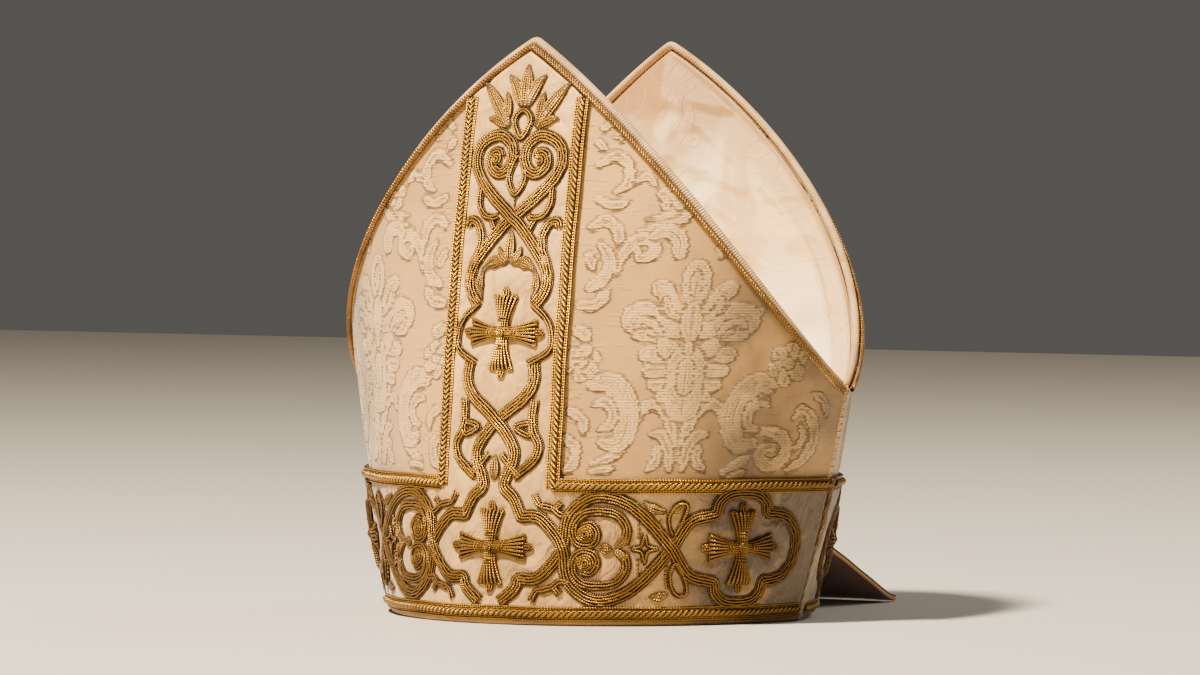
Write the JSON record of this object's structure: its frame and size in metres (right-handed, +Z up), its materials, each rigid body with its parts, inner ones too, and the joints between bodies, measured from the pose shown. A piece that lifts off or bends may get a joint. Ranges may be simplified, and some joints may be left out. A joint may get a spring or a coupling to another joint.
{
  "type": "bishop mitre",
  "caption": "Bishop's mitre with a raised horn front and back, a folded silk web between them, gold embroidered bands and lappets; it stands on its hem.",
  "frame": {"origin": "on the surface the mitre stands on, at the middle of its footprint, lappets included", "axes": "+Z up from the hem to the horns; the front horn faces -Y; +X to the right seen from the front"},
  "size_m": [0.258, 0.2552, 0.2634],
  "materials": {
    "damask": "cream silk damask, satin ground with a ribbed figure",
    "lining": "plain cream silk",
    "web_silk": "cream silk satin with age stains",
    "band_silk": "ribbed cream silk",
    "gold_braid": "gold braid with a twisted rope down its middle",
    "gold_cord": "twisted gold cord",
    "gold_embroidery": "couched gold cord over padding",
    "edge_silk": "padded cream silk edge",
    "worn_cord": "worn grey-gold cord",
    "lappet_silk": "cream silk with a dark red-brown underside"
  },
  "bodies": {
    "root": {"front_panel": "damask", "front_lining": "lining", "front_circulus": "band_silk", "front_titulus": "band_silk", "front_lower_galloon": "gold_braid", "front_upper_galloon_left": "gold_braid", "front_upright_galloon_left": "gold_braid", "front_upper_galloon_right": "gold_braid", "front_upright_galloon_right": "gold_braid", "front_edge_roll": "edge_silk", "front_piping": "gold_cord", "front_cross_titulus": "gold_embroidery", "front_frame_titulus": "gold_embroidery", "front_cross_middle": "gold_embroidery", "front_frame_middle": "gold_embroidery", "front_cross_left": "gold_embroidery", "front_frame_left": "gold_embroidery", "front_cross_right": "gold_embroidery", "front_frame_right": "gold_embroidery", "back_panel": "damask", "back_lining": "lining", "back_circulus": "band_silk", "back_titulus": "band_silk", "back_lower_galloon": "gold_braid", "back_upper_galloon_left": "gold_braid", "back_upright_galloon_left": "gold_braid", "back_upper_galloon_right": "gold_braid", "back_upright_galloon_right": "gold_braid", "back_edge_roll": "edge_silk", "back_piping": "gold_cord", "back_cross_titulus": "gold_embroidery", "back_frame_titulus": "gold_embroidery", "back_cross_middle": "gold_embroidery", "back_frame_middle": "gold_embroidery", "back_cross_left": "gold_embroidery", "back_frame_left": "gold_embroidery", "back_cross_right": "gold_embroidery", "back_frame_right": "gold_embroidery", "crown_web": "web_silk", "right_seam_cord": "worn_cord", "left_seam_cord": "worn_cord", "lappet_left": "lappet_silk", "lappet_right": "lappet_silk"}
  },
  "joints": []
}
